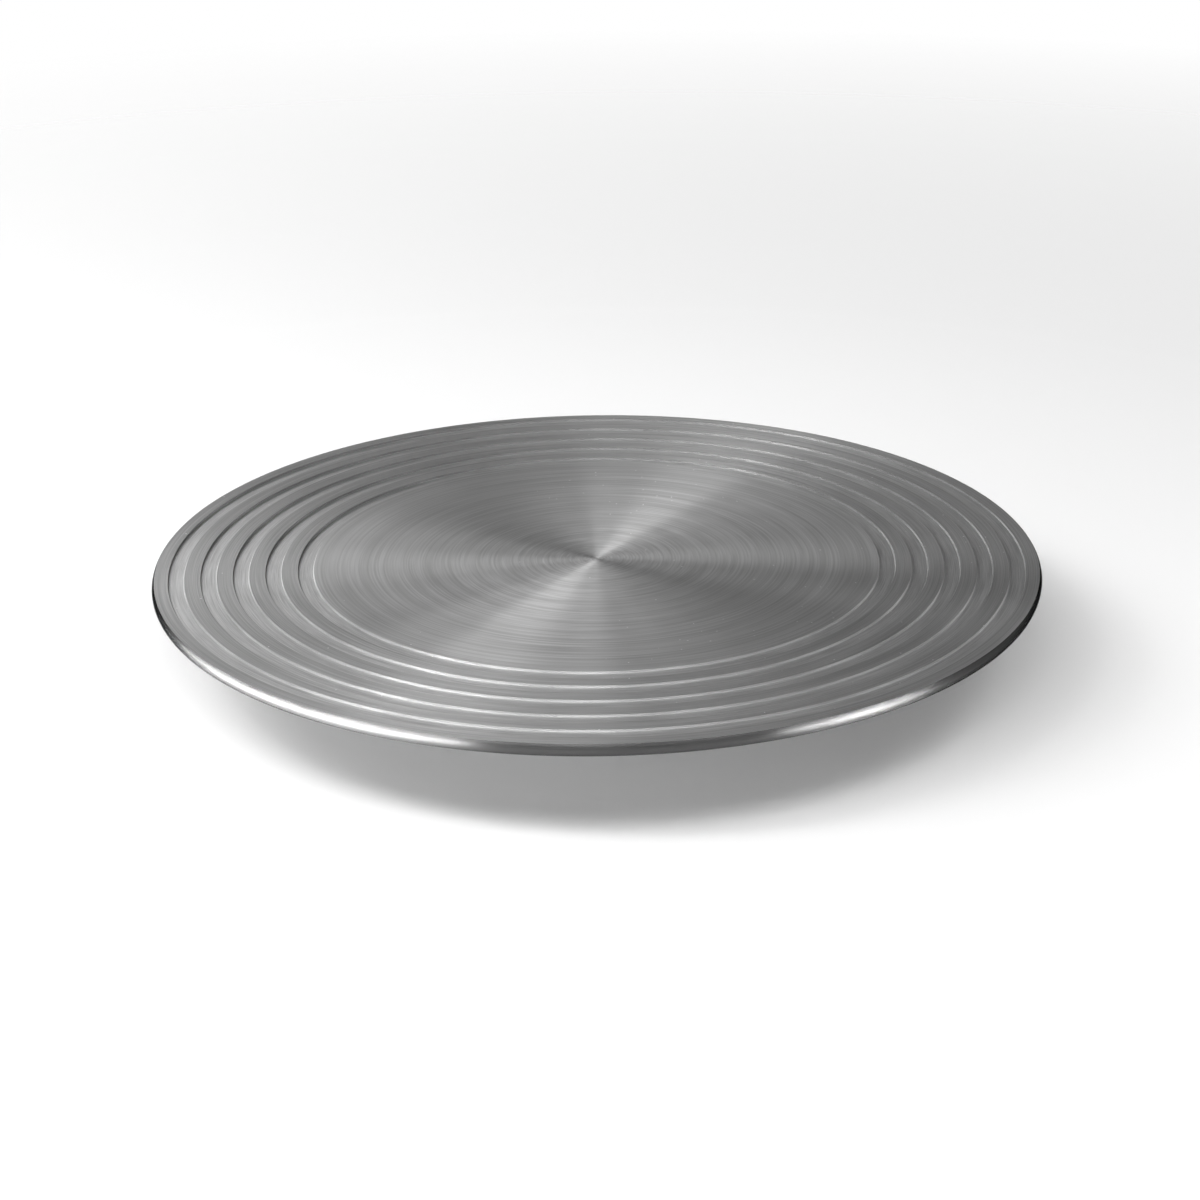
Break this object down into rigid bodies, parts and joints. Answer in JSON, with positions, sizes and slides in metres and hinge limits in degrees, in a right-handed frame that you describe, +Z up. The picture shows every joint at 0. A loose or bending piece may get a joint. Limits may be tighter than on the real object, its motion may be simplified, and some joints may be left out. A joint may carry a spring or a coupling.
{
  "type": "banding wheel",
  "caption": "Low banding wheel: a thin turned metal wheel head with concentric ring grooves that spins on a small round ball-bearing base with rubber feet.",
  "frame": {"origin": "on the spin axis, at the table surface under the rubber feet", "axes": "+Z up along the spin axis, towards the work face; +X through the middle of one foot"},
  "size_m": [0.3, 0.3, 0.035],
  "materials": {
    "turned_aluminium": "fine concentric lathe finish, satin",
    "machined_steel": "machined, lightly oiled",
    "ground_steel": "ground and hardened",
    "spring_steel": "phosphated dark spring steel",
    "polished_balls": "polished",
    "cage_brass": "stamped brass",
    "cage_nylon": "moulded nylon",
    "skirt_plastic": "black moulded plastic, fine grain",
    "enamelled_iron": "dark grey textured enamel over cast iron",
    "wool_felt": "pressed grey wool felt",
    "gasket_fibre": "brown fibre gasket sheet",
    "black_screws": "black oxide",
    "plated_screws": "bright zinc plate",
    "foot_rubber": "matt black moulded rubber"
  },
  "bodies": {
    "base": {"base_casting": "enamelled_iron", "lower_thrust_race": "ground_steel", "bearing_outer_ring": "ground_steel", "bearing_shield_lower": "machined_steel", "bearing_shield_upper": "machined_steel", "housing_circlip": "spring_steel", "felt_seal": "wool_felt", "bottom_gasket": "gasket_fibre", "bottom_cover": "machined_steel", "cover_screws": "black_screws", "foot_1": "foot_rubber", "foot_2": "foot_rubber", "foot_3": "foot_rubber", "foot_4": "foot_rubber", "foot_5": "foot_rubber", "foot_6": "foot_rubber", "foot_screws": "plated_screws"},
    "wheel": {"wheel_head": "turned_aluminium", "spindle": "machined_steel", "spindle_screws": "black_screws", "dust_skirt": "skirt_plastic", "upper_thrust_race": "ground_steel", "bearing_inner_ring": "ground_steel", "preload_spring": "spring_steel", "spindle_circlip": "spring_steel"},
    "thrust_ball_set": {"thrust_balls": "polished_balls", "thrust_cage": "cage_brass"},
    "bearing_ball_set": {"bearing_balls": "polished_balls", "bearing_cage": "cage_nylon"}
  },
  "joints": [
    {"name": "wheel_spin", "type": "hinge", "parent": "base", "child": "wheel", "pos_m": [0, 0, 0.018], "axis": [0, 0, 1], "continuous": true},
    {"name": "thrust_ball_orbit", "type": "hinge", "parent": "base", "child": "thrust_ball_set", "pos_m": [0, 0, 0.018], "axis": [0, 0, 1], "continuous": true},
    {"name": "bearing_ball_orbit", "type": "hinge", "parent": "base", "child": "bearing_ball_set", "pos_m": [0, 0, 0.0135], "axis": [0, 0, 1], "continuous": true}
  ],
  "couplings": [
    {"joint": "thrust_ball_orbit", "follows": "wheel_spin", "ratio": 0.5},
    {"joint": "bearing_ball_orbit", "follows": "wheel_spin", "ratio": 0.41228}
  ]
}
